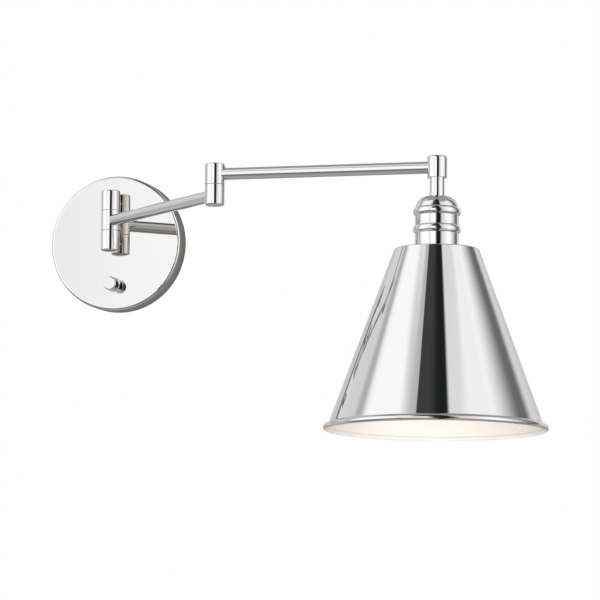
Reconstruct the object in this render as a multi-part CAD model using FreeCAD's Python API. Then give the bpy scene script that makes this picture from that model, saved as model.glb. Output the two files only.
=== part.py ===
import FreeCAD, Part
import math
import os

from FreeCAD import Vector

os.makedirs("parts", exist_ok=True)

# All sizes are in millimetres.  The origin is the centre of the backplate's
# rear rim, on the wall.  +X is to the right of someone facing the wall,
# +Y goes into the wall and +Z is up.

# Backplate (a hollow pan)
PLATE_R = 63.5
PLATE_DEPTH = 19.0
PLATE_WALL = 1.2
PLATE_EDGE_R = 2.5

# Wall bracket inside the backplate
BAR_WIDTH = 20.0
BAR_THICK = 2.0
BAR_HALF = 61.0
TAB_LENGTH = 14.0
SLOT_SPACING = 79.4
SLOT_LENGTH = 15.0
SLOT_R = 2.4
SCREW_Y = -9.0

# Hinge barrels: three equal segments high, stacked on one axis
HUB_R = 8.9
HUB_CAVITY_R = 6.5
HUB_TOP = 47.5
SEAM_HIGH = 28.5
SEAM_LOW = 9.5
HUB_BOTTOM = -9.5
SEAM_GAP = 0.5
HUB_EDGE = 1.2
HUB_FOOT_EDGE = 1.8
FOOT_DOME = 0.9
FLOOR_THICK = 2.55
PLUG_THICK = 2.0
BARREL_STANDOFF = 15.0
BARREL_Y = -(PLATE_DEPTH + BARREL_STANDOFF)

# Pivot studs
STUD_R = 4.0
STUD_BORE_R = 2.2
BEARING_R = 4.06
FLANGE_R = 5.5
CLIP_R = 5.6
WASHER_R = 7.9
WASHER_THICK = 0.4

# Standoff posts between the backplate and the fixed barrel segments
POST_R = 3.25
POST_THREAD_R = 2.8
POST_BORE_R = 1.9
POST_HEIGHTS = (38.0, 0.0)

# Arms
TUBE_R = 5.4
TUBE_BORE_R = 4.4
TUBE_START = 6.0
ARM1_Z = 19.0
ARM2_Z = 38.0
ARM1_LENGTH = 198.0
ARM2_LENGTH = 205.0
ARM1_ANGLE = 47.2
ARM2_ANGLE = 91.6
SET_SCREW_Z = 44.6

# Stem, nipple and socket cup under the end fitting
END_EDGE = 2.0
END_TOP = 48.2
STEM_R = 6.6
STEM_BORE_R = 5.0
STEM_BOTTOM = 12.2
NIPPLE_R = 4.95
NIPPLE_BORE_R = 3.6
NIPPLE_TOP = 32.5
NIPPLE_BOTTOM = 5.5
CUP_R = 19.5
CUP_BORE_R = 18.3
CUP_BOTTOM = -35.2
DOME_CENTRE_R = 6.7
DOME_R = 12.7
BEAD_R = 21.3
BEAD_HEIGHT = 7.4
BEAD_BOTTOMS = (-5.6, -21.6)

# Shade: a cone with a rolled rim
SHADE_TOP = -35.2
SHADE_WALL = 0.9
SHADE_TOP_R = 37.5
SHADE_SLOPE = 0.3685
SHADE_HOLE_R = 17.3
SHADE_SHOULDER = 1.5
RIM_R = 2.6
RIM_CENTRE_R = 97.0
RIM_CENTRE_Z = -194.0
RIM_FILLET = 2.0

# Lamp socket
SOCKET_R = 17.0
SOCKET_TOP = -4.0
SOCKET_BOTTOM = -50.0
SOCKET_BORE_R = 14.6
SHELL_R = 14.4
SHELL_BORE_R = 13.3
SHELL_TOP = -16.0
SHELL_END_THICK = 0.8
SHELL_BOTTOM = -48.0
THREAD_TOP = -19.0
RELIEF_R = 13.7
CONTACT_DROP = 2.9
RING_R = 22.0

# Rotary switch on the backplate
KNOB_Z = -39.5
KNOB_R = 6.4
KNOB_FRONT = 16.0
KNOB_BACK = 6.2
KNOB_FLUTES = 30
FLUTE_R = 0.28
SWITCH_R = 11.0
BUSHING_R = 4.7
SHAFT_R = 3.0
SHAFT_BORE_R = 3.06
RING_NUT_R = 6.7
RING_NUT_THICK = 5.0

# Wires
CORD_R = 1.5
LEAD_R = 0.9
BEND_R = 6.0

X = Vector(1, 0, 0)
Y = Vector(0, 1, 0)
Z = Vector(0, 0, 1)


def rod(radius, start, end):
    """A solid cylinder from one point to another."""
    a = Vector(*start)
    b = Vector(*end)
    return Part.makeCylinder(radius, b.sub(a).Length, a, b.sub(a))


def tube(outer, inner, start, end):
    """A hollow cylinder from one point to another."""
    return rod(outer, start, end).cut(rod(inner, start, end))


def turned(outline):
    """A body of revolution about Z from (radius, height) points.

    A point with four numbers is an arc's middle point and its end point.
    """
    edges = []
    first = outline[0]
    last = Vector(first[0], 0, first[1])
    for item in outline[1:]:
        if len(item) == 2:
            end = Vector(item[0], 0, item[1])
            edges.append(Part.LineSegment(last, end).toShape())
        else:
            middle = Vector(item[0], 0, item[1])
            end = Vector(item[2], 0, item[3])
            edges.append(Part.Arc(last, middle, end).toShape())
        last = end
    start = Vector(first[0], 0, first[1])
    if last.sub(start).Length > 1e-6:
        edges.append(Part.LineSegment(last, start).toShape())
    face = Part.Face(Part.Wire(edges))
    return face.revolve(Vector(0, 0, 0), Z, 360)


def wire_run(radius, points, bend):
    """A round wire along straight runs joined by tangent arcs."""
    corners = [Vector(*p) for p in points]
    edges = []
    last = corners[0]
    for i in range(1, len(corners) - 1):
        into = corners[i].sub(corners[i - 1]).normalize()
        out = corners[i + 1].sub(corners[i]).normalize()
        turn = into.getAngle(out)
        back = bend * math.tan(turn / 2)
        arc_start = corners[i].sub(into * back)
        arc_end = corners[i].add(out * back)
        inward = out.sub(into).normalize()
        centre = corners[i].add(inward * (bend / math.cos(turn / 2)))
        arc_middle = centre.sub(inward * bend)
        if arc_start.sub(last).Length > 1e-4:
            edges.append(Part.LineSegment(last, arc_start).toShape())
        edges.append(Part.Arc(arc_start, arc_middle, arc_end).toShape())
        last = arc_end
    if corners[-1].sub(last).Length > 1e-4:
        edges.append(Part.LineSegment(last, corners[-1]).toShape())
    path = Part.Wire(edges)
    direction = corners[1].sub(corners[0])
    ring = Part.Wire([Part.Circle(corners[0], direction, radius).toShape()])
    return path.makePipeShell([ring], True, False)


def hexagon(across_flats, start, end, bore):
    """A hexagonal nut from one point to another, with a round bore."""
    a = Vector(*start)
    b = Vector(*end)
    along = b.sub(a)
    side = along.cross(Z) if abs(along.getAngle(Z)) > 0.1 else along.cross(X)
    side.normalize()
    other = along.cross(side).normalize()
    radius = across_flats / math.sqrt(3)
    corners = []
    for i in range(7):
        angle = math.radians(60 * i)
        step = side * (radius * math.cos(angle)) + other * (radius * math.sin(angle))
        corners.append(a.add(step))
    face = Part.Face(Part.makePolygon(corners))
    return face.extrude(along).cut(rod(bore, start, end))


def placed(shape, angle_from_normal, x, y):
    """Turn a shape built along +X to an arm's direction and move it."""
    shape.rotate(Vector(0, 0, 0), Z, angle_from_normal - 90.0)
    shape.translate(Vector(x, y, 0))
    return shape


def write(name, shape):
    shape.exportStep("parts/%s.step" % name)


ELBOW_X = ARM1_LENGTH * math.sin(math.radians(ARM1_ANGLE))
ELBOW_Y = BARREL_Y - ARM1_LENGTH * math.cos(math.radians(ARM1_ANGLE))
LAMP_X = ELBOW_X + ARM2_LENGTH * math.sin(math.radians(ARM2_ANGLE))
LAMP_Y = ELBOW_Y - ARM2_LENGTH * math.cos(math.radians(ARM2_ANGLE))
HALF_GAP = SEAM_GAP / 2


def in_arm1(shape):
    return placed(shape, ARM1_ANGLE, 0, BARREL_Y)


def in_arm2(shape):
    return placed(shape, ARM2_ANGLE, ELBOW_X, ELBOW_Y)


def at_barrel(shape):
    shape.translate(Vector(0, BARREL_Y, 0))
    return shape


def at_lamp(shape):
    shape.translate(Vector(LAMP_X, LAMP_Y, 0))
    return shape


# ---------------------------------------------------------------- backplate

def backplate():
    r = PLATE_R
    d = PLATE_DEPTH
    e = PLATE_EDGE_R
    w = PLATE_WALL
    k = e * (1 - math.sqrt(0.5))
    pan = turned([(0, d), (r - e, d), (r - k, d - k, r, d - e), (r, 0), (0, 0)])
    m = e - (e - w) * math.sqrt(0.5)
    inner = [(0, d - w), (r - e, d - w), (r - m, d - m, r - w, d - e), (r - w, -1), (0, -1)]
    pan = pan.cut(turned(inner))
    pan.rotate(Vector(0, 0, 0), X, 90)
    for z in POST_HEIGHTS:
        pan = pan.cut(rod(POST_THREAD_R, (0, -d - 1, z), (0, -d + 5, z)))
    pan = pan.cut(rod(BUSHING_R, (0, -d - 1, KNOB_Z), (0, -d + 5, KNOB_Z)))
    pan = pan.cut(rod(2.0, (0, SCREW_Y, r - 5), (0, SCREW_Y, r + 5)))
    return pan


def mounting_bar():
    w = BAR_WIDTH / 2
    bar = Part.makeBox(2 * w, BAR_THICK, 2 * BAR_HALF, Vector(-w, -BAR_THICK, -BAR_HALF))
    for side in (1, -1):
        z = side * BAR_HALF
        low = min(z, z - side * BAR_THICK)
        tab = Part.makeBox(2 * w, TAB_LENGTH, BAR_THICK, Vector(-w, -TAB_LENGTH, low))
        bar = bar.fuse(tab)
    bar = bar.removeSplitter()
    half = SLOT_LENGTH / 2 - SLOT_R
    for side in (1, -1):
        z = side * SLOT_SPACING / 2
        bar = bar.cut(rod(SLOT_R, (0, -5, z - half), (0, 5, z - half)))
        bar = bar.cut(rod(SLOT_R, (0, -5, z + half), (0, 5, z + half)))
        bar = bar.cut(Part.makeBox(2 * SLOT_R, 10, 2 * half, Vector(-SLOT_R, -5, z - half)))
    bar = bar.cut(rod(2.0, (0, SCREW_Y, BAR_HALF - 5), (0, SCREW_Y, BAR_HALF + 5)))
    bar = bar.cut(rod(2.0, (5, -5, 12), (5, 5, 12)))
    return bar


def plate_screw():
    top = PLATE_R - 0.3
    screw = rod(2.0, (0, SCREW_Y, 56.5), (0, SCREW_Y, top))
    slot = Part.makeBox(5, 0.7, 2, Vector(-2.5, SCREW_Y - 0.35, top - 1.0))
    return screw.cut(slot)


def ground_screw():
    head = rod(3.6, (5, -5.0, 12), (5, -3.9, 12)).fuse(rod(3.0, (5, -5.7, 12), (5, -5.0, 12)))
    screw = head.fuse(rod(2.0, (5, -3.9, 12), (5, -0.2, 12))).removeSplitter()
    return screw.cut(Part.makeBox(8, 0.8, 0.8, Vector(1, -5.8, 11.6)))


def ground_terminal():
    y = -PLATE_DEPTH + PLATE_WALL
    ring = rod(4.3, (0, y, 0), (0, y + 0.8, 0))
    tongue = Part.makeBox(8.0, 0.8, 3.0, Vector(0, y, -1.5))
    barrel = rod(1.5, (6.5, y + 1.5, 0), (10.0, y + 1.5, 0))
    lug = ring.fuse(tongue).fuse(barrel)
    lug = lug.cut(rod(LEAD_R, (6.0, y + 1.5, 0), (11.0, y + 1.5, 0)))
    return lug.cut(rod(POST_THREAD_R, (0, y - 1, 0), (0, y + 2, 0)))


def ground_lead():
    y = -PLATE_DEPTH + PLATE_WALL + 1.5
    points = [(7.0, y, 0), (16.5, y, 0), (16.5, -9.5, 0), (16.5, -9.5, 12), (16.5, -2.95, 12)]
    points.append((7.2, -2.95, 12))
    return wire_run(LEAD_R, points, 2.6)


def standoff_posts():
    posts = []
    y_plate = -PLATE_DEPTH
    for z in POST_HEIGHTS:
        post = rod(POST_R, (0, BARREL_Y + 5, z), (0, y_plate, z))
        post = post.cut(rod(HUB_R, (0, BARREL_Y, z - 9), (0, BARREL_Y, z + 9)))
        thread = rod(POST_THREAD_R, (0, BARREL_Y + 6.3, z), (0, y_plate + 5.8, z))
        post = post.fuse(thread)
        posts.append(post.cut(rod(POST_BORE_R, (0, BARREL_Y, z), (0, 0, z))))
    return Part.makeCompound(posts)


def post_nuts():
    nuts = []
    for z in POST_HEIGHTS:
        lift = 2.4 if z == 0.0 else 1.6
        y = -PLATE_DEPTH + PLATE_WALL + lift - 0.8
        nuts.append(hexagon(9.0, (0, y, z), (0, y + 3.2, z), POST_THREAD_R))
    return Part.makeCompound(nuts)


def post_washers():
    washers = []
    y_top = -PLATE_DEPTH + PLATE_WALL
    washers.append(tube(5.0, POST_THREAD_R, (0, y_top, 38.0), (0, y_top + 0.8, 38.0)))
    washers.append(tube(5.0, POST_THREAD_R, (0, y_top + 0.8, 0), (0, y_top + 1.6, 0)))
    return Part.makeCompound(washers)


# ------------------------------------------------------- fixed hinge barrel

def cylinder_with_edges(low, high, low_edge, high_edge):
    """A hinge barrel's outside, with rounded ends where asked."""
    points = [(0, low)]
    if low_edge > 0:
        k = low_edge * (1 - math.sqrt(0.5))
        points.append((HUB_R - low_edge, low))
        points.append((HUB_R - k, low + k, HUB_R, low + low_edge))
    else:
        points.append((HUB_R, low))
    if high_edge > 0:
        k = high_edge * (1 - math.sqrt(0.5))
        points.append((HUB_R, high - high_edge))
        points.append((HUB_R - k, high - k, HUB_R - high_edge, high))
    else:
        points.append((HUB_R, high))
    points.append((0, high))
    return turned(points)


def barrel_top():
    low = SEAM_HIGH + HALF_GAP
    body = cylinder_with_edges(low, HUB_TOP, 0, HUB_EDGE)
    body = body.cut(rod(HUB_CAVITY_R, (0, 0, low + FLOOR_THICK), (0, 0, HUB_TOP + 1)))
    body = body.cut(rod(STUD_R, (0, 0, low - 1), (0, 0, low + 5)))
    body = body.cut(rod(POST_THREAD_R, (0, 0, ARM2_Z), (0, 12, ARM2_Z)))
    return at_barrel(body)


def domed_foot(radius, level):
    """A shallow dome under a flat round end."""
    ball_r = (radius ** 2 + FOOT_DOME ** 2) / (2 * FOOT_DOME)
    half = radius / 2
    rise = math.sqrt(ball_r ** 2 - half ** 2) - (ball_r - FOOT_DOME)
    return turned([(0, level - FOOT_DOME), (half, level - rise, radius, level), (0, level)])


def barrel_bottom():
    high = SEAM_LOW - HALF_GAP
    body = cylinder_with_edges(HUB_BOTTOM, high, HUB_FOOT_EDGE, 0)
    body = body.fuse(domed_foot(HUB_R - HUB_FOOT_EDGE, HUB_BOTTOM)).removeSplitter()
    body = body.cut(rod(STUD_R, (0, 0, 2.0), (0, 0, high + 1)))
    body = body.cut(rod(POST_THREAD_R, (0, 6.3, 0), (0, 12, 0)))
    return at_barrel(body)


def top_plug():
    """A disc that closes a barrel's open top."""
    return rod(HUB_CAVITY_R, (0, 0, HUB_TOP - PLUG_THICK), (0, 0, HUB_TOP))


def barrel_plug():
    return at_barrel(top_plug())


def wall_stud():
    seat = SEAM_HIGH + HALF_GAP + FLOOR_THICK
    stud = rod(FLANGE_R, (0, 0, seat), (0, 0, seat + 1.0))
    stud = stud.fuse(rod(STUD_R, (0, 0, 23.9), (0, 0, seat)))
    stud = stud.cut(rod(STUD_BORE_R, (0, 0, 20), (0, 0, 40)))
    return at_barrel(stud)


def wall_stud_clip():
    return at_barrel(tube(CLIP_R, STUD_R, (0, 0, 24.0), (0, 0, 25.1)))


def wall_pin():
    return at_barrel(rod(STUD_R, (0, 0, 2.0), (0, 0, 12.0)))


def barrel_washers():
    low = SEAM_LOW - HALF_GAP
    high = SEAM_HIGH + HALF_GAP
    lower = tube(WASHER_R, STUD_R, (0, 0, low), (0, 0, low + WASHER_THICK))
    upper = tube(WASHER_R, STUD_R, (0, 0, high - WASHER_THICK), (0, 0, high))
    return at_barrel(Part.makeCompound([lower, upper]))


# -------------------------------------------------------------- the switch

def switch_body():
    inside = -PLATE_DEPTH + PLATE_WALL
    can = rod(SWITCH_R, (0, inside, KNOB_Z), (0, -5.5, KNOB_Z))
    bushing = rod(BUSHING_R, (0, -24.4, KNOB_Z), (0, inside, KNOB_Z))
    body = can.fuse(bushing).removeSplitter()
    return body.cut(rod(SHAFT_BORE_R, (0, -30, KNOB_Z), (0, -11.8, KNOB_Z)))


def switch_ring_nut():
    face = PLATE_DEPTH
    r = RING_NUT_R
    t = RING_NUT_THICK
    points = [(BUSHING_R, face), (r, face), (r, face + t - 0.9), (r - 0.9, face + t)]
    points.append((BUSHING_R, face + t))
    nut = turned(points)
    nut.rotate(Vector(0, 0, 0), X, 90)
    nut.translate(Vector(0, 0, KNOB_Z))
    return nut


def switch_shaft():
    return rod(SHAFT_R, (0, -33.0, KNOB_Z), (0, -12.0, KNOB_Z))


def knob():
    front = PLATE_DEPTH + KNOB_FRONT
    back = PLATE_DEPTH + KNOB_BACK
    e = 1.1
    k = e * (1 - math.sqrt(0.5))
    r = KNOB_R
    points = [(0, back), (r - 0.5, back), (r, back + 0.5), (r, front - e)]
    points.append((r - k, front - k, r - e, front))
    points.append((0, front))
    body = turned(points)
    for i in range(KNOB_FLUTES):
        angle = 2 * math.pi * i / KNOB_FLUTES
        x = (r + 0.08) * math.cos(angle)
        y = (r + 0.08) * math.sin(angle)
        body = body.cut(rod(FLUTE_R, (x, y, back + 1.0), (x, y, front - 1.6)))
    body.rotate(Vector(0, 0, 0), X, 90)
    body.translate(Vector(0, 0, KNOB_Z))
    return body.cut(rod(SHAFT_R, (0, -33.0, KNOB_Z), (0, -10, KNOB_Z)))


# ------------------------------------------- wires held inside the backplate

def feed_cord():
    points = [(-20, SCREW_Y, ARM2_Z), (0, SCREW_Y, ARM2_Z), (0, BARREL_Y, ARM2_Z)]
    points.append((0, BARREL_Y, 25.3))
    return wire_run(CORD_R, points, 5.0)


def feed_leads():
    high = ARM2_Z + LEAD_R + 0.02
    low = ARM2_Z - LEAD_R - 0.02
    neutral = wire_run(LEAD_R, [(-20.1, -9, high), (-38, -9, high), (-38, -9, 29)], 6.0)
    points = [(-20.1, -9, low), (-27, -9, low), (-27, -9, -42), (-10.95, -9, -42)]
    live = wire_run(LEAD_R, points, 6.0)
    return Part.makeCompound([neutral, live])


def switch_lead():
    points = [(-10.75, -12.5, -36), (-38, -12.5, -36), (-38, -12.5, -24)]
    return wire_run(LEAD_R, points, 7.0)


def wire_connectors():
    caps = []
    for mouth, tip, y in ((31.0, 13.0, -9.0), (-26.0, -8.0, -12.0)):
        sign = 1 if tip > mouth else -1
        body = turned([(0, 0), (5.0, 0), (5.0, 4), (3.2, 18), (0, 18)])
        body = body.cut(rod(4.0, (0, 0, -1), (0, 0, 4)))
        body = body.cut(rod(2.4, (0, 0, 4), (0, 0, 14)))
        if sign < 0:
            body.rotate(Vector(0, 0, 0), X, 180)
        body.translate(Vector(-38, y, mouth))
        caps.append(body)
    return Part.makeCompound(caps)


# -------------------------------------------------------------------- arm 1

def arm1_hub():
    low = SEAM_LOW + HALF_GAP
    high = SEAM_HIGH - HALF_GAP
    body = cylinder_with_edges(low, high, 0, 0)
    cavity_top = high - FLOOR_THICK - 0.5
    body = body.cut(rod(HUB_CAVITY_R, (0, 0, low + FLOOR_THICK), (0, 0, cavity_top)))
    body = body.cut(rod(BEARING_R, (0, 0, 0), (0, 0, 40)))
    body = body.cut(rod(TUBE_R, (0, 0, ARM1_Z), (20, 0, ARM1_Z)))
    return in_arm1(body)


def arm1_tube():
    body = tube(TUBE_R, TUBE_BORE_R, (TUBE_START, 0, ARM1_Z), (ARM1_LENGTH - TUBE_START, 0, ARM1_Z))
    return in_arm1(body)


def elbow_lower():
    high = SEAM_HIGH - HALF_GAP
    body = cylinder_with_edges(SEAM_LOW, high, HUB_FOOT_EDGE, 0)
    body = body.cut(rod(HUB_CAVITY_R, (0, 0, SEAM_LOW - 1), (0, 0, high - FLOOR_THICK - 0.5)))
    body = body.cut(rod(STUD_R, (0, 0, 0), (0, 0, 40)))
    body = body.cut(rod(TUBE_R, (-20, 0, ARM1_Z), (0, 0, ARM1_Z)))
    body.translate(Vector(ARM1_LENGTH, 0, 0))
    return in_arm1(body)


def elbow_plug_bottom():
    body = rod(HUB_CAVITY_R, (0, 0, SEAM_LOW), (0, 0, SEAM_LOW + PLUG_THICK))
    body = body.fuse(domed_foot(HUB_CAVITY_R, SEAM_LOW)).removeSplitter()
    body.translate(Vector(ARM1_LENGTH, 0, 0))
    return in_arm1(body)


def elbow_stud():
    seat = SEAM_HIGH - HALF_GAP - FLOOR_THICK - 0.5
    c = ARM1_LENGTH
    stud = rod(FLANGE_R, (c, 0, seat - 1.0), (c, 0, seat))
    stud = stud.fuse(rod(STUD_R, (c, 0, seat), (c, 0, 32.9)))
    stud = stud.cut(rod(STUD_BORE_R, (c, 0, 20), (c, 0, 40)))
    return in_arm1(stud)


def elbow_stud_clip():
    c = ARM1_LENGTH
    return in_arm1(tube(CLIP_R, STUD_R, (c, 0, 31.4), (c, 0, 32.5)))


def elbow_washer():
    c = ARM1_LENGTH
    z = SEAM_HIGH - HALF_GAP
    return in_arm1(tube(WASHER_R, STUD_R, (c, 0, z), (c, 0, z + WASHER_THICK)))


def arm1_cord():
    c = ARM1_LENGTH
    points = [(0, 0, 25.0), (0, 0, ARM1_Z), (c, 0, ARM1_Z), (c, 0, 31.7)]
    return in_arm1(wire_run(CORD_R, points, BEND_R - 0.01))


# -------------------------------------------------------------------- arm 2

def elbow_upper():
    low = SEAM_HIGH + HALF_GAP
    body = cylinder_with_edges(low, HUB_TOP, 0, HUB_EDGE)
    body = body.cut(rod(HUB_CAVITY_R, (0, 0, low + FLOOR_THICK), (0, 0, HUB_TOP + 1)))
    body = body.cut(rod(BEARING_R, (0, 0, 0), (0, 0, 40)))
    body = body.cut(rod(TUBE_R, (0, 0, ARM2_Z), (20, 0, ARM2_Z)))
    body = body.cut(rod(1.0, (0, 0, SET_SCREW_Z), (20, 0, SET_SCREW_Z)))
    return in_arm2(body)


def elbow_plug_top():
    return in_arm2(top_plug())


def elbow_set_screw():
    return in_arm2(rod(1.0, (6.7, 0, SET_SCREW_Z), (9.4, 0, SET_SCREW_Z)))


def arm2_tube():
    body = tube(TUBE_R, TUBE_BORE_R, (TUBE_START, 0, ARM2_Z), (ARM2_LENGTH - TUBE_START, 0, ARM2_Z))
    return in_arm2(body)


def end_fitting():
    body = cylinder_with_edges(SEAM_HIGH, END_TOP, 0.4, END_EDGE)
    body = body.cut(rod(HUB_CAVITY_R - 0.5, (0, 0, 32.0), (0, 0, END_TOP + 1)))
    body = body.cut(rod(NIPPLE_R, (0, 0, 20), (0, 0, 40)))
    body = body.cut(rod(TUBE_R, (-20, 0, ARM2_Z), (0, 0, ARM2_Z)))
    body.translate(Vector(ARM2_LENGTH, 0, 0))
    return in_arm2(body)


def end_plug():
    c = ARM2_LENGTH
    return in_arm2(rod(HUB_CAVITY_R - 0.5, (c, 0, END_TOP - PLUG_THICK), (c, 0, END_TOP)))


def arm2_cord():
    c = ARM2_LENGTH
    points = [(0, 0, 32.0), (0, 0, ARM2_Z), (c, 0, ARM2_Z), (c, 0, SOCKET_TOP + 0.05)]
    return in_arm2(wire_run(CORD_R, points, BEND_R - 0.01))


def nipple():
    return at_lamp(tube(NIPPLE_R, NIPPLE_BORE_R, (0, 0, NIPPLE_BOTTOM), (0, 0, NIPPLE_TOP)))


def nipple_nut():
    return at_lamp(hexagon(14.0, (0, 0, 7.8), (0, 0, 11.0), NIPPLE_R))


def stem():
    return at_lamp(tube(STEM_R, STEM_BORE_R, (0, 0, STEM_BOTTOM), (0, 0, SEAM_HIGH)))


def socket_cup():
    dome_z = STEM_BOTTOM - DOME_R
    bead_top = BEAD_BOTTOMS[0] + BEAD_HEIGHT
    meet_r = DOME_CENTRE_R + math.sqrt(DOME_R ** 2 - (bead_top - dome_z) ** 2)
    steep = math.radians(50)
    middle = (DOME_CENTRE_R + DOME_R * math.cos(steep), dome_z + DOME_R * math.sin(steep))
    points = [(STEM_BORE_R, STEM_BOTTOM), (DOME_CENTRE_R, STEM_BOTTOM)]
    points.append((middle[0], middle[1], meet_r, bead_top))
    for bottom in BEAD_BOTTOMS:
        top = bottom + BEAD_HEIGHT
        if bottom != BEAD_BOTTOMS[0]:
            points.append((CUP_R, top))
        points.append((BEAD_R, bottom + BEAD_HEIGHT / 2, CUP_R, bottom))
    points.append((CUP_R, CUP_BOTTOM))
    points.append((CUP_BORE_R, CUP_BOTTOM))
    points.append((CUP_BORE_R, dome_z))
    low_r = CUP_BORE_R - DOME_CENTRE_R
    arc_middle = (DOME_CENTRE_R + low_r * math.cos(steep), dome_z + low_r * math.sin(steep))
    points.append((arc_middle[0], arc_middle[1], DOME_CENTRE_R, dome_z + low_r))
    points.append((STEM_BORE_R, dome_z + low_r))
    return at_lamp(turned(points))


def socket_body():
    body = rod(SOCKET_R, (0, 0, SOCKET_BOTTOM), (0, 0, SOCKET_TOP))
    body = body.cut(rod(SOCKET_BORE_R, (0, 0, SOCKET_BOTTOM - 1), (0, 0, SHELL_TOP)))
    return at_lamp(body)


def socket_shell():
    relief_top = SHELL_TOP - SHELL_END_THICK
    shell = rod(SHELL_R, (0, 0, SHELL_BOTTOM), (0, 0, SHELL_TOP))
    shell = shell.cut(rod(SHELL_BORE_R, (0, 0, SHELL_BOTTOM - 1), (0, 0, THREAD_TOP)))
    shell = shell.cut(rod(RELIEF_R, (0, 0, THREAD_TOP), (0, 0, relief_top)))
    shell = shell.cut(rod(6.0, (0, 0, relief_top - 1), (0, 0, SHELL_TOP + 1)))
    return at_lamp(shell)


def centre_contact():
    top = SHELL_TOP
    tip = top - CONTACT_DROP
    points = [(0, top), (3.5, top), (3.5, top - 1), (2.0, tip + 0.3), (0, tip)]
    return at_lamp(turned(points))


def shade_ring():
    top = SHADE_TOP - SHADE_WALL
    points = [(SOCKET_R, top), (RING_R, top), (RING_R, top - 2.5), (RING_R - 1, top - 4.5)]
    points.append((SOCKET_R, top - 4.5))
    return at_lamp(turned(points))


def shade():
    w = SHADE_WALL
    lean = math.atan(SHADE_SLOPE)
    end_z = RIM_CENTRE_Z
    end_r = SHADE_TOP_R + (SHADE_TOP - end_z) * SHADE_SLOPE
    side_w = w / math.cos(lean)
    low_r = SHADE_TOP_R + w * SHADE_SLOPE - side_w
    points = [(SHADE_HOLE_R, SHADE_TOP), (SHADE_TOP_R, SHADE_TOP), (end_r, end_z)]
    points.append((end_r - side_w, end_z))
    points.append((low_r, SHADE_TOP - w))
    points.append((SHADE_HOLE_R, SHADE_TOP - w))
    cone = turned(points)
    shoulder = [e for e in cone.Edges if circle_at(e, SHADE_TOP_R, SHADE_TOP)]
    cone = cone.makeFillet(SHADE_SHOULDER, shoulder)
    rim = Part.makeTorus(RIM_CENTRE_R, RIM_R, Vector(0, 0, RIM_CENTRE_Z), Z)
    body = cone.fuse(rim).removeSplitter()
    meet = []
    for edge in body.Edges:
        if isinstance(edge.Curve, Part.Circle) and edge.Curve.Center.z > RIM_CENTRE_Z + 0.5:
            if edge.Curve.Radius > 94.6 and edge.Curve.Center.z < RIM_CENTRE_Z + 4:
                meet.append(edge)
    body = body.makeFillet(RIM_FILLET, meet)
    return at_lamp(body)


def circle_at(edge, radius, height):
    """True for a circular edge of this radius at this height."""
    if not isinstance(edge.Curve, Part.Circle):
        return False
    same_r = abs(edge.Curve.Radius - radius) < 1e-3
    return same_r and abs(edge.Curve.Center.z - height) < 1e-3


PARTS = [
    ("backplate", backplate),
    ("mounting_bar", mounting_bar),
    ("plate_screw", plate_screw),
    ("ground_screw", ground_screw),
    ("ground_terminal", ground_terminal),
    ("ground_lead", ground_lead),
    ("standoff_posts", standoff_posts),
    ("post_nuts", post_nuts),
    ("post_washers", post_washers),
    ("barrel_top", barrel_top),
    ("barrel_bottom", barrel_bottom),
    ("barrel_plug", barrel_plug),
    ("wall_stud", wall_stud),
    ("wall_stud_clip", wall_stud_clip),
    ("wall_pin", wall_pin),
    ("barrel_washers", barrel_washers),
    ("switch_body", switch_body),
    ("switch_ring_nut", switch_ring_nut),
    ("switch_shaft", switch_shaft),
    ("knob", knob),
    ("feed_cord", feed_cord),
    ("feed_leads", feed_leads),
    ("switch_lead", switch_lead),
    ("wire_connectors", wire_connectors),
    ("arm1_hub", arm1_hub),
    ("arm1_tube", arm1_tube),
    ("elbow_lower", elbow_lower),
    ("elbow_plug_bottom", elbow_plug_bottom),
    ("elbow_stud", elbow_stud),
    ("elbow_stud_clip", elbow_stud_clip),
    ("elbow_washer", elbow_washer),
    ("arm1_cord", arm1_cord),
    ("elbow_upper", elbow_upper),
    ("elbow_plug_top", elbow_plug_top),
    ("elbow_set_screw", elbow_set_screw),
    ("arm2_tube", arm2_tube),
    ("end_fitting", end_fitting),
    ("end_plug", end_plug),
    ("arm2_cord", arm2_cord),
    ("nipple", nipple),
    ("nipple_nut", nipple_nut),
    ("stem", stem),
    ("socket_cup", socket_cup),
    ("socket_body", socket_body),
    ("socket_shell", socket_shell),
    ("centre_contact", centre_contact),
    ("shade_ring", shade_ring),
    ("shade", shade),
]

for name, make in PARTS:
    write(name, make())
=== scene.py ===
import math

import bmesh
import bpy
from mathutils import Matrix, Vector


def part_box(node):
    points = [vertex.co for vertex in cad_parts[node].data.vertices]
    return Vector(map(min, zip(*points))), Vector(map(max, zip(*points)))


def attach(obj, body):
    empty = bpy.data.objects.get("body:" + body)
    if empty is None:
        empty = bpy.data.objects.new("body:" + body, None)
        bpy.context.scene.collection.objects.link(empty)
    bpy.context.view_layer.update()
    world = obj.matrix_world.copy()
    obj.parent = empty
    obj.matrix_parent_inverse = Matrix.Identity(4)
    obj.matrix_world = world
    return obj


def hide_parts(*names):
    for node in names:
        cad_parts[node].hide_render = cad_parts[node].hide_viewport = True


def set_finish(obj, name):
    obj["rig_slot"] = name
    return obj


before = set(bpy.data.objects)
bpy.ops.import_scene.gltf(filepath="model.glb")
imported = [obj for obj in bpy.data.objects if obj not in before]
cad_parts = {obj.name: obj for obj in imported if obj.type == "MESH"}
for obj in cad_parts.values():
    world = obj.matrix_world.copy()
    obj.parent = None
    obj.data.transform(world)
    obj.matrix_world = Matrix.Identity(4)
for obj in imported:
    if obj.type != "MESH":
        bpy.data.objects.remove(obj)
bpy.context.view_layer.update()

# Camera, in metres and degrees, in the CAD frame.
CAMERA_PLACE = (1.35029, -3.93776, -0.56839)
CAMERA_TURN = (97.1079, -0.5342, 16.5409)
CAMERA_LENS = 267.22
SENSOR = 36.0

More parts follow.
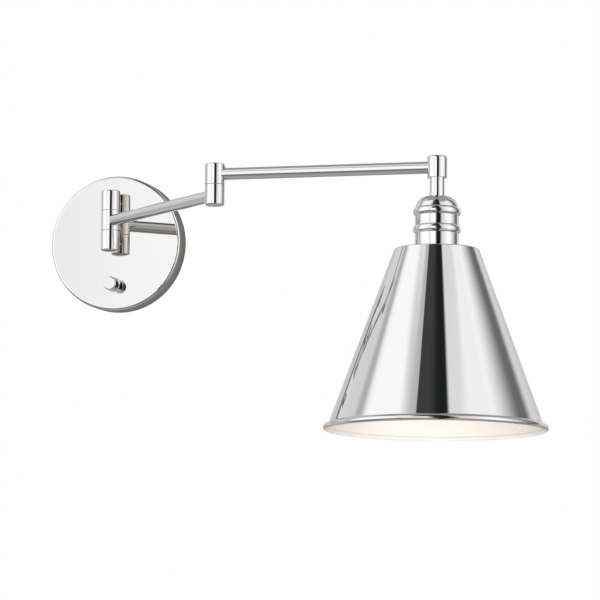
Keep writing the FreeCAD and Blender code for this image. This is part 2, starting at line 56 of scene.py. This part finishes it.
# The floor, in metres, and how much it shines of itself so that it is pale.
FLOOR_Z = -1.5
FLOOR_HALF = 30.0
FLOOR_GLOW = 0.34

# The ring of wall close round the plate, in metres, and how wide the painted shadow of the
# plate on it is.
CARD_Y = 0.001
CARD_INNER = 0.0637
CARD_OUTER = 0.082
CARD_SHADOW = 0.008
CARD_STEPS = 96

# Soft lights: name, place and aim in metres, size, power in watts, colour.
LIGHTS = [
    ("key", (-1.5, -2.5, 3.5), (0.15, -0.15, 0.0), 2.5, 120.0, (1.0, 1.0, 1.0)),
    ("bounce", (0.7, -1.1, -1.3), (0.35, -0.16, -0.1), 3.2, 54.0, (1.0, 0.97, 0.93)),
]

WHITE = (1.0, 1.0, 1.0, 1.0)
LAMP_BODY = "arm_2"


# ------------------------------------------------------------- node helpers

class Tree:
    """Short calls for building a node tree."""

    def __init__(self, tree):
        self.tree = tree
        tree.nodes.clear()

    def add(self, kind, **settings):
        node = self.tree.nodes.new(kind)
        for key, value in settings.items():
            setattr(node, key, value)
        return node

    def put(self, socket, value):
        if isinstance(value, bpy.types.NodeSocket):
            self.tree.links.new(value, socket)
        else:
            socket.default_value = value

    def maths(self, operation, *values):
        node = self.add("ShaderNodeMath", operation=operation)
        for socket, value in zip(node.inputs, values):
            self.put(socket, value)
        return node.outputs[0]

    def ramp_between(self, value, low, high, start=0.0, end=1.0):
        """Smoothly from start, where value is low, to end, where it is high."""
        node = self.add("ShaderNodeMapRange", interpolation_type="SMOOTHSTEP")
        for socket, number in zip(node.inputs, (value, low, high, start, end)):
            self.put(socket, number)
        return node.outputs[0]

    def mix(self, factor, first, second):
        node = self.add("ShaderNodeMix", data_type="RGBA")
        self.put(node.inputs["Factor"], factor)
        self.put(node.inputs["A"], first)
        self.put(node.inputs["B"], second)
        return node.outputs["Result"]

    def noise(self, place, scale, detail=3.0):
        node = self.add("ShaderNodeTexNoise")
        self.put(node.inputs["Vector"], place)
        self.put(node.inputs["Scale"], scale)
        self.put(node.inputs["Detail"], detail)
        return node.outputs["Fac"]


def linear(value):
    """The light value of a screen grey or colour from 0 to 255."""
    v = value / 255.0
    return v / 12.92 if v <= 0.04045 else ((v + 0.055) / 1.055) ** 2.4


def screen(colour):
    """A shader colour from screen values: one grey, or red, green and blue."""
    if not isinstance(colour, tuple):
        colour = (colour, colour, colour)
    return tuple(linear(v) for v in colour) + (1.0,)


# ------------------------------------------------------------------- studio

# The way that azimuth 0 of the panels faces, in degrees from the lamp's front
# (-Y) towards +X.
FRONT = 19.0
WALL_GREY = 205

# Each panel: name, colour from 0 to 255, left and right azimuth, how soft the
# left and right sides are, lowest and highest elevation, and how soft those
# are.  Angles are in degrees.  A later panel lies over an earlier one.
PANELS = [
    ("back_left", 182, -400, -150, 1, 20, -4, 40, 6),
    ("back_right", 182, 146, 400, 20, 1, -4, 40, 6),
    ("back_high_left", 148, -400, -152, 1, 22, 28, 120, 20),
    ("back_high_right", 148, 142, 400, 22, 1, 28, 120, 20),
    ("left_stand_far", 160, -141, -126, 8, 6, -24, 17, 8),
    ("left_stand_foot", (173, 170, 175), -141, -114, 8, 6, -22, 2, 6),
    ("left_stand_near", 172, -114, -102, 8, 8, -30, 75, 15),
    ("left_softbox", 255, -97, -12, 22, 4, -32, 66, 22),
    ("left_softbox_join", 245, -44, -32, 8, 8, -40, 70, 10),
    ("left_softbox_dip", 224, -46, -38.7, 8, 3.2, -40, 70, 10),
    ("left_softbox_high", 248, -98, -20, 20, 2, 28, 75, 22),
    ("left_top", 206, -62, -24, 26, 2, 47.4, 55, 2.6),
    ("left_fade_high", 176, -43, -24, 28, 2, 30, 75, 16),
    ("right_softbox_rim", 218, 19, 88, 12, 18, -32, 66, 22),
    ("right_softbox", 254, 42, 76, 34, 24, -40, 70, 10),
    ("right_softbox_high", 238, 42, 72, 34, 20, 28, 75, 22),
    ("right_top", 217, 13, 52, 2, 24, 48.4, 84, 2.0),
    ("right_curtain", 104, 98, 128, 32, 16, -40, 75, 15),
    ("ceiling", (146, 144, 144), -400, 400, 1, 1, 56, 120, 14),
    ("left_bar_high", 244, -74, -42, 12, 8, 50, 65.5, 6),
    ("camera_side_low", (64, 54, 46), -9, 18, 9, 14, -40, 28, 22),
    ("camera_low", (18, 19, 22), -3, 12, 11, 9, -40, 28, 22),
    ("camera_side_high", (60, 60, 59), -31, 13, 2, 6, 22, 84, 16),
    ("camera_high", (28, 30, 32), -8, 11, 18, 4, 22, 84, 16),
    ("floor_far", (120, 124, 136), -400, 400, 1, 1, -120, -31, 32),
    ("floor_far_left", (112, 114, 118), -114, -14, 10, 14, -120, -19, 20),
    ("floor_near", (162, 154, 142), -400, 400, 1, 1, -120, -54, 24),
    ("back_low_left", (158, 143, 133), -400, -150, 1, 30, -34, -2, 8),
    ("back_low_right", (150, 138, 128), 135, 400, 30, 1, -34, -2, 8),
    ("camera_foot", (20, 20, 22), -3, 12, 11, 10, -82, -28, 12),
]

# The metal's own colour.  The studio is divided by it, so that what is seen
# after one reflection has the panels' own values.
METAL = (0.665, 0.637, 0.60)


def window(t, value, low, high, low_soft, high_soft):
    """1 between low and high, 0 outside, with soft sides."""
    rise = t.ramp_between(value, low - low_soft / 2, low + low_soft / 2)
    fall = t.ramp_between(value, high - high_soft / 2, high + high_soft / 2, 1.0, 0.0)
    return t.maths("MULTIPLY", rise, fall)


def over_metal(t, colour):
    """The colour divided by the metal's own."""
    boost = t.add("ShaderNodeVectorMath", operation="DIVIDE")
    t.put(boost.inputs[0], colour)
    t.put(boost.inputs[1], METAL)
    return boost.outputs[0]


def make_world():
    """The studio as the metal sees it.  Straight to the camera it is plain white."""
    world = bpy.data.worlds.new("studio")
    world.use_nodes = True
    bpy.context.scene.world = world
    t = Tree(world.node_tree)
    ray = t.add("ShaderNodeTexCoord").outputs["Generated"]
    parts = t.add("ShaderNodeSeparateXYZ")
    t.put(parts.inputs[0], ray)
    x, y, z = parts.outputs
    minus_y = t.maths("MULTIPLY", y, -1.0)
    turn = t.maths("ARCTAN2", x, minus_y)
    azimuth = t.maths("SUBTRACT", t.maths("DEGREES", turn), FRONT)
    azimuth = t.maths("WRAP", azimuth, 180.0, -180.0)
    elevation = t.maths("DEGREES", t.maths("ARCSINE", z))
    colour = screen(WALL_GREY)
    for _, grey, left, right, left_soft, right_soft, low, high, soft in PANELS:
        across = window(t, azimuth, left, right, left_soft, right_soft)
        up = window(t, elevation, low, high, soft, soft)
        colour = t.mix(t.maths("MULTIPLY", across, up), colour, screen(grey))
    rays = t.add("ShaderNodeLightPath")
    colour = t.mix(rays.outputs["Is Glossy Ray"], colour, over_metal(t, colour))
    colour = t.mix(rays.outputs["Is Camera Ray"], colour, WHITE)
    background = t.add("ShaderNodeBackground")
    t.put(background.inputs["Color"], colour)
    out = t.add("ShaderNodeOutputWorld")
    t.put(out.inputs["Surface"], background.outputs[0])


def soft_light(name, place, aim, size, power, colour):
    """A round light that the camera and the metal don't see."""
    data = bpy.data.lights.new(name, "AREA")
    data.shape = "DISK"
    data.size = size
    data.energy = power
    data.color = colour
    light = bpy.data.objects.new(name, data)
    light.location = place
    light.rotation_euler = (Vector(aim) - Vector(place)).to_track_quat("-Z", "Y").to_euler()
    light.visible_camera = False
    light.visible_glossy = False
    bpy.context.scene.collection.objects.link(light)


def make_floor():
    """A plain pale floor that is clear from below and leaves no colour on the lamp."""
    mesh = bpy.data.meshes.new("floor")
    h = FLOOR_HALF
    corners = [(-h, -h, FLOOR_Z), (h, -h, FLOOR_Z), (h, h, FLOOR_Z), (-h, h, FLOOR_Z)]
    mesh.from_pydata(corners, [], [(0, 1, 2, 3)])
    floor = bpy.data.objects.new("floor", mesh)
    bpy.context.scene.collection.objects.link(floor)
    floor.visible_glossy = False
    floor.visible_diffuse = False
    mat = bpy.data.materials.new("floor_paper")
    mat.use_nodes = True
    t = Tree(mat.node_tree)
    paper = t.add("ShaderNodeBsdfDiffuse")
    grain = t.noise(t.add("ShaderNodeTexCoord").outputs["Object"], 3.0)
    t.put(paper.inputs["Color"], t.mix(grain, (0.86, 0.86, 0.86, 1), (0.9, 0.9, 0.9, 1)))
    glow = t.add("ShaderNodeEmission")
    t.put(glow.inputs["Color"], (FLOOR_GLOW, FLOOR_GLOW, FLOOR_GLOW, 1.0))
    lit = t.add("ShaderNodeAddShader")
    t.put(lit.inputs[0], paper.outputs[0])
    t.put(lit.inputs[1], glow.outputs[0])
    clear = t.add("ShaderNodeBsdfTransparent")
    side = t.add("ShaderNodeMixShader")
    t.put(side.inputs[0], t.add("ShaderNodeNewGeometry").outputs["Backfacing"])
    t.put(side.inputs[1], lit.outputs[0])
    t.put(side.inputs[2], clear.outputs[0])
    out = t.add("ShaderNodeOutputMaterial")
    t.put(out.inputs["Surface"], side.outputs[0])
    mesh.materials.append(mat)


def make_camera():
    data = bpy.data.cameras.new("camera")
    data.lens = CAMERA_LENS
    data.sensor_width = SENSOR
    data.clip_start = 0.1
    data.clip_end = 100.0
    camera = bpy.data.objects.new("camera", data)
    camera.location = CAMERA_PLACE
    camera.rotation_euler = [math.radians(a) for a in CAMERA_TURN]
    bpy.context.scene.collection.objects.link(camera)
    bpy.context.scene.camera = camera


def make_card():
    """The wall close round the plate, which only the metal sees. It is a glowing card with
    a painted shadow of the plate: darkest at the plate's edge and lighter outward, with a
    random mottle.
    """
    points = []
    for i in range(CARD_STEPS):
        angle = 2 * math.pi * i / CARD_STEPS
        for radius in (CARD_INNER, CARD_OUTER):
            points.append((radius * math.cos(angle), CARD_Y, radius * math.sin(angle)))
    faces = []
    for i in range(CARD_STEPS):
        j = (i + 1) % CARD_STEPS
        faces.append((2 * i, 2 * i + 1, 2 * j + 1, 2 * j))
    mesh = bpy.data.meshes.new("wall_card")
    mesh.from_pydata(points, [], faces)
    card = bpy.data.objects.new("wall_card", mesh)
    bpy.context.scene.collection.objects.link(card)
    card.visible_camera = False
    card.visible_diffuse = False
    card.visible_shadow = False
    mat = bpy.data.materials.new("wall_shadow")
    mat.use_nodes = True
    t = Tree(mat.node_tree)
    place = t.add("ShaderNodeTexCoord").outputs["Object"]
    grain = t.ramp_between(t.noise(place, 40.0), 0.3, 0.7, 0.0, 0.3)
    glow = t.add("ShaderNodeEmission")
    spread = t.add("ShaderNodeVectorMath", operation="LENGTH")
    t.put(spread.inputs[0], place)
    away = t.ramp_between(spread.outputs["Value"], CARD_INNER, CARD_INNER + CARD_SHADOW)
    # Painted shadow of the plate on the wall: darkest at the plate's edge, lighter over
    # CARD_SHADOW outward.
    shade = t.mix(away, screen((98, 97, 94)), screen((126, 122, 116)))
    shade = t.mix(grain, shade, screen((112, 110, 106)))
    t.put(glow.inputs["Color"], over_metal(t, shade))
    out = t.add("ShaderNodeOutputMaterial")
    t.put(out.inputs["Surface"], glow.outputs[0])
    mesh.materials.append(mat)


# ---------------------------------------------------------------- materials

def surface(name, base, metallic, roughness, bump=None, **sockets):
    """A Principled material.  base and roughness may be built by functions."""
    mat = bpy.data.materials.new(name)
    mat.use_nodes = True
    t = Tree(mat.node_tree)
    shader = t.add("ShaderNodeBsdfPrincipled")
    place = t.add("ShaderNodeTexCoord").outputs["Object"]
    t.put(shader.inputs["Base Color"], base(t, place))
    t.put(shader.inputs["Metallic"], metallic)
    t.put(shader.inputs["Roughness"], roughness(t, place))
    for key, value in sockets.items():
        t.put(shader.inputs[key.replace("_", " ")], value)
    if bump:
        height, strength, distance = bump(t, place)
        node = t.add("ShaderNodeBump")
        t.put(node.inputs["Height"], height)
        t.put(node.inputs["Strength"], strength)
        t.put(node.inputs["Distance"], distance)
        t.put(shader.inputs["Normal"], node.outputs[0])
    out = t.add("ShaderNodeOutputMaterial")
    t.put(out.inputs["Surface"], shader.outputs[0])
    return mat


def blotches(low, high, scale, detail=3.0):
    """A colour that wanders between two."""
    def build(t, place):
        return t.mix(t.noise(place, scale, detail), low, high)
    return build


def uneven(low, high, scale, detail=4.0):
    """A number that wanders between two."""
    def build(t, place):
        return t.ramp_between(t.noise(place, scale, detail), 0.35, 0.65, low, high)
    return build


def bumps(scale, strength, distance, detail=2.0):
    """Fine unevenness of the surface itself."""
    def build(t, place):
        return t.noise(place, scale, detail), strength, distance
    return build


def grey(value):
    return (value, value, value, 1.0)


def make_materials():
    """One material for each of the record's slots, and the shade's enamel."""
    return {
        "polished_chrome": surface(
            "polished_chrome",
            blotches((0.657, 0.629, 0.592, 1), (0.673, 0.645, 0.608, 1), 30),
            1.0,
            uneven(0.012, 0.022, 60, 1.0),
            bumps(16, 0.02, 0.001, 0.0),
        ),
        "zinc_steel": surface(
            "zinc_steel",
            blotches((0.50, 0.52, 0.54, 1), (0.66, 0.67, 0.66, 1), 400, 5),
            1.0,
            uneven(0.24, 0.4, 500),
            bumps(900, 0.15, 0.0002),
        ),
        "steel_screw": surface(
            "steel_screw",
            blotches((0.60, 0.60, 0.60, 1), (0.72, 0.72, 0.71, 1), 700),
            1.0,
            uneven(0.12, 0.26, 900),
            bumps(1200, 0.1, 0.0001),
        ),
        "green_screw": surface(
            "green_screw",
            blotches((0.02, 0.20, 0.06, 1), (0.04, 0.30, 0.10, 1), 700),
            0.0,
            uneven(0.25, 0.4, 700),
            bumps(1200, 0.1, 0.0001),
        ),
        "green_wire": surface(
            "green_wire",
            blotches((0.015, 0.17, 0.05, 1), (0.02, 0.22, 0.07, 1), 500),
            0.0,
            uneven(0.35, 0.5, 500),
            bumps(1500, 0.1, 0.0001),
        ),
        "black_cord": surface(
            "black_cord",
            blotches(grey(0.012), grey(0.025), 500),
            0.0,
            uneven(0.4, 0.6, 500),
            bumps(1500, 0.15, 0.0001),
        ),
        "white_wire": surface(
            "white_wire",
            blotches(grey(0.72), grey(0.8), 500),
            0.0,
            uneven(0.35, 0.5, 500),
            bumps(1500, 0.1, 0.0001),
        ),
        "black_wire": surface(
            "black_wire",
            blotches(grey(0.015), grey(0.03), 500),
            0.0,
            uneven(0.35, 0.5, 500),
            bumps(1500, 0.1, 0.0001),
        ),
        "orange_plastic": surface(
            "orange_plastic",
            blotches((0.80, 0.20, 0.02, 1), (0.88, 0.26, 0.04, 1), 300),
            0.0,
            uneven(0.3, 0.45, 400),
            bumps(900, 0.12, 0.0002),
        ),
        "nylon": surface(
            "nylon",
            blotches((0.74, 0.73, 0.68, 1), (0.8, 0.79, 0.75, 1), 600),
            0.0,
            uneven(0.4, 0.55, 600),
            bumps(900, 0.1, 0.0001),
        ),
        "black_plastic": surface(
            "black_plastic",
            blotches(grey(0.014), grey(0.028), 300),
            0.0,
            uneven(0.3, 0.48, 400),
            bumps(1100, 0.2, 0.0001),
        ),
        "brass": surface(
            "brass",
            blotches((0.74, 0.52, 0.22, 1), (0.84, 0.62, 0.30, 1), 300),
            1.0,
            uneven(0.18, 0.32, 500),
            bumps(900, 0.12, 0.0001),
        ),
        "white_enamel": surface(
            "white_enamel",
            blotches((0.86, 0.825, 0.79, 1), (0.88, 0.845, 0.81, 1), 80),
            0.0,
            uneven(0.3, 0.42, 300),
            bumps(500, 0.12, 0.0002),
        ),
    }


# ------------------------------------------------- pieces made in mesh code

# Edges sharper than this many degrees stay sharp.
SHARP_FROM = 35.0
SHADE_STEPS = 224
SMALL_STEPS = 96


def arc(centre, radius, start, end, steps=10):
    """Points of an arc in a (radius, height) profile; angles in degrees."""
    points = []
    for i in range(steps + 1):
        angle = math.radians(start + (end - start) * i / steps)
        x = centre[0] + radius * math.cos(angle)
        z = centre[1] + radius * math.sin(angle)
        points.append((x, z))
    return points


def spin(mesh, centre, profile_at, steps):
    """Adds a body turned about a vertical axis; profile_at gives its closed
    profile in mm at an angle."""
    rings = []
    for i in range(steps):
        angle = 2 * math.pi * i / steps
        ring = []
        for r, z in profile_at(angle):
            x = centre[0] + r * math.cos(angle)
            y = centre[1] + r * math.sin(angle)
            ring.append(mesh.verts.new((x / 1000, y / 1000, (centre[2] + z) / 1000)))
        rings.append(ring)
    count = len(rings[0])
    for i in range(steps):
        here = rings[i]
        there = rings[(i + 1) % steps]
        for k in range(count):
            n = (k + 1) % count
            mesh.faces.new((here[k], there[k], there[n], here[n]))


def piece(name, build, material, body, nodes, slot=None):
    """An object from a mesh builder, riding on a body and standing for nodes."""
    work = bmesh.new()
    build(work)
    bmesh.ops.recalc_face_normals(work, faces=work.faces)
    mesh = bpy.data.meshes.new(name)
    work.to_mesh(mesh)
    work.free()
    mesh.polygons.foreach_set("use_smooth", [True] * len(mesh.polygons))
    mesh.set_sharp_from_angle(angle=math.radians(SHARP_FROM))
    mesh.materials.append(material)
    made = bpy.data.objects.new(name, mesh)
    bpy.context.scene.collection.objects.link(made)
    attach(made, body)
    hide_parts(*nodes)
    if slot:
        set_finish(made, slot)


def lamp_axis():
    """The socket's vertical axis in mm, with height 0 at the wall plate's."""
    a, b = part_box("stem")
    return ((a[0] + b[0]) * 500, (a[1] + b[1]) * 500, 0.0)


# The shade's section, in mm: a cone ending in a rolled rim.  Its outer half is
# the metal skin and its inner half the enamel, which meet on the rim at the
# angle ENAMEL_EDGE, in degrees.
SHADE_TOP = -35.2
SHADE_TOP_R = 37.5
SHADE_HOLE_R = 17.3
SHADE_SLOPE = 0.3685
SHADE_LEAN = math.degrees(math.atan(SHADE_SLOPE))
SHADE_WALL = 0.9
SKIN = 0.45
SKIN_GAP = 0.05
SHOULDER = 1.5
RIM = (97.0, -194.0)
RIM_R = 2.6
RIM_SKIN_R = 2.0
RIM_ENAMEL_R = 1.95
FILLET = 2.0
ENAMEL_EDGE = -75.0
ENAMEL_START = ENAMEL_EDGE - 1.5


def cone_point(z, depth):
    """A point at this height, this deep under the cone's outer face."""
    stretch = math.hypot(1.0, SHADE_SLOPE)
    return (SHADE_TOP_R + (SHADE_TOP - z) * SHADE_SLOPE - depth * stretch, z)


def rim_angle(offset, reach):
    """The direction, from the rim's centre, of the point at this reach from
    it that stands this far outside the cone's outer face."""
    lean = math.atan(SHADE_SLOPE)
    stretch = math.hypot(1.0, SHADE_SLOPE)
    base = SHADE_TOP_R + SHADE_TOP * SHADE_SLOPE - RIM[0] - SHADE_SLOPE * RIM[1]
    return math.degrees(lean + math.acos((offset * stretch + base) / (reach * stretch)))


def fillet_centre(turn):
    """The centre of the fillet that meets the rim at this angle."""
    far = RIM_R + FILLET
    angle = math.radians(turn)
    return (RIM[0] + far * math.cos(angle), RIM[1] + far * math.sin(angle))


def skin_profile(_angle):
    """The shade's metal: its outer face and the rolled rim's outer side."""
    corner = SHOULDER * math.tan(math.radians(90 - SHADE_LEAN) / 2)
    shoulder_centre = (SHADE_TOP_R - corner, SHADE_TOP - SHOULDER)
    points = [(SHADE_HOLE_R, SHADE_TOP)]
    points += arc(shoulder_centre, SHOULDER, 90, SHADE_LEAN, 8)
    turn = rim_angle(FILLET, RIM_R + FILLET)
    points += arc(fillet_centre(turn), FILLET, SHADE_LEAN + 180, turn + 180)
    points += arc(RIM, RIM_R, turn, ENAMEL_EDGE, 24)[1:]
    points += arc(RIM, RIM_SKIN_R, ENAMEL_EDGE, rim_angle(-SKIN, RIM_SKIN_R), 24)
    points.append(cone_point(SHADE_TOP - SKIN, SKIN))
    points.append((SHADE_HOLE_R, SHADE_TOP - SKIN))
    return points


def lining_profile(_angle):
    """The enamel: the shade's inside and the rolled rim's underside."""
    depth = SKIN + SKIN_GAP
    turn = rim_angle(-SHADE_WALL - FILLET, RIM_R + FILLET)
    points = arc(RIM, RIM_R, ENAMEL_START, turn - 360, 20)
    points += arc(fillet_centre(turn), FILLET, turn - 180, SHADE_LEAN)[1:]
    points.append(cone_point(SHADE_TOP - SHADE_WALL, SHADE_WALL))
    points.append((SHADE_HOLE_R, SHADE_TOP - SHADE_WALL))
    points.append((SHADE_HOLE_R, SHADE_TOP - depth))
    points.append(cone_point(SHADE_TOP - depth, depth))
    last = rim_angle(-depth, RIM_ENAMEL_R) - 360
    points += arc(RIM, RIM_ENAMEL_R, last, ENAMEL_START, 20)
    return points


# The screw shell's section, in mm: the rolled thread, then the relief above it
# and the end with the contact's hole.
THREAD_PITCH = 3.63
THREAD_DEPTH = 0.5
THREAD_R = 13.32
THREAD_WALL = 0.5
THREAD_LOW = -48.0
THREAD_HIGH = -19.0
THREAD_FADE = 2.0
THREAD_STEPS = 88
RELIEF_R = 13.7
SHELL_R = 14.35
SHELL_HOLE_R = 6.0
RELIEF_LOW = -18.4
END_LOW = -16.8
END_HIGH = -16.0


def thread_profile(angle):
    """The rolled shell that a lamp cap screws into."""
    wall = []
    for i in range(THREAD_STEPS + 1):
        z = THREAD_LOW + (THREAD_HIGH - THREAD_LOW) * i / THREAD_STEPS
        phase = 2 * math.pi * z / THREAD_PITCH + angle
        near_end = min(z - THREAD_LOW, THREAD_HIGH - z)
        ends = min(1.0, near_end / THREAD_FADE)
        crest = ends * (0.5 + 0.5 * math.cos(phase))
        wall.append((THREAD_R + THREAD_DEPTH * (1 - crest), z))
    points = wall + [(RELIEF_R, RELIEF_LOW), (RELIEF_R, END_LOW)]
    points += [(SHELL_HOLE_R, END_LOW), (SHELL_HOLE_R, END_HIGH)]
    points += [(SHELL_R, END_HIGH), (SHELL_R, RELIEF_LOW)]
    return points + [(r + THREAD_WALL, z) for r, z in reversed(wall)]


# The twist-on connectors: how many ribs and how deep, and where their mouths
# are, in mm.
RIB_COUNT = 16
RIB_DEPTH = 0.16
UPPER_MOUTH = (-38.0, -9.0, 31.0)
LOWER_MOUTH = (-38.0, -12.0, -26.0)


def connector_profile(angle):
    """A ribbed twist-on wire connector, mouth at height 0."""
    rib = RIB_DEPTH * (1 - math.cos(RIB_COUNT * angle))
    points = [(2.4, 14.0), (0.02, 14.0), (0.02, 17.96), (2.9, 17.96)]
    points += [(3.2 - rib * 0.5, 17.4), (4.0 - rib, 11.5), (4.85 - rib, 4.6)]
    points += [(5.0, 4.2), (5.0, 0.3), (4.8, 0.02)]
    return points + [(4.1, 0.02), (4.0, 4.0), (2.4, 4.0)]


def turned_over(profile):
    """The same profile upside down."""
    return lambda angle: [(r, -z) for r, z in profile(angle)]


def make_pieces(materials):
    """The pieces that Blender shapes in place of the plain CAD solids."""
    axis = lamp_axis()
    piece(
        "shade_skin",
        lambda m: spin(m, axis, skin_profile, SHADE_STEPS),
        materials["polished_chrome"], LAMP_BODY, ["shade"], "polished_chrome",
    )
    piece(
        "shade_lining",
        lambda m: spin(m, axis, lining_profile, SHADE_STEPS),
        materials["white_enamel"], LAMP_BODY, ["shade"],
    )
    shell_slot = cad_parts["socket_shell"]["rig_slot"]
    piece(
        "socket_thread",
        lambda m: spin(m, axis, thread_profile, SMALL_STEPS),
        materials[shell_slot], LAMP_BODY, ["socket_shell"], shell_slot,
    )

    def connectors(mesh):
        spin(mesh, UPPER_MOUTH, turned_over(connector_profile), SMALL_STEPS)
        spin(mesh, LOWER_MOUTH, connector_profile, SMALL_STEPS)

    piece(
        "ribbed_connectors",
        connectors,
        materials["orange_plastic"], "wall_mount", ["wire_connectors"], "orange_plastic",
    )


# ------------------------------------------------------------------ the lamp

def paint_cad(materials):
    """Each CAD node gets the material of its slot in the record."""
    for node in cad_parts.values():
        slot = node.data.materials[0].name
        node.material_slots[0].material = materials[slot]
        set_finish(node, slot)


bpy.context.scene.view_settings.view_transform = "Standard"
make_camera()
make_world()
make_floor()
make_card()
for light in LIGHTS:
    soft_light(*light)
made_materials = make_materials()
paint_cad(made_materials)
make_pieces(made_materials)
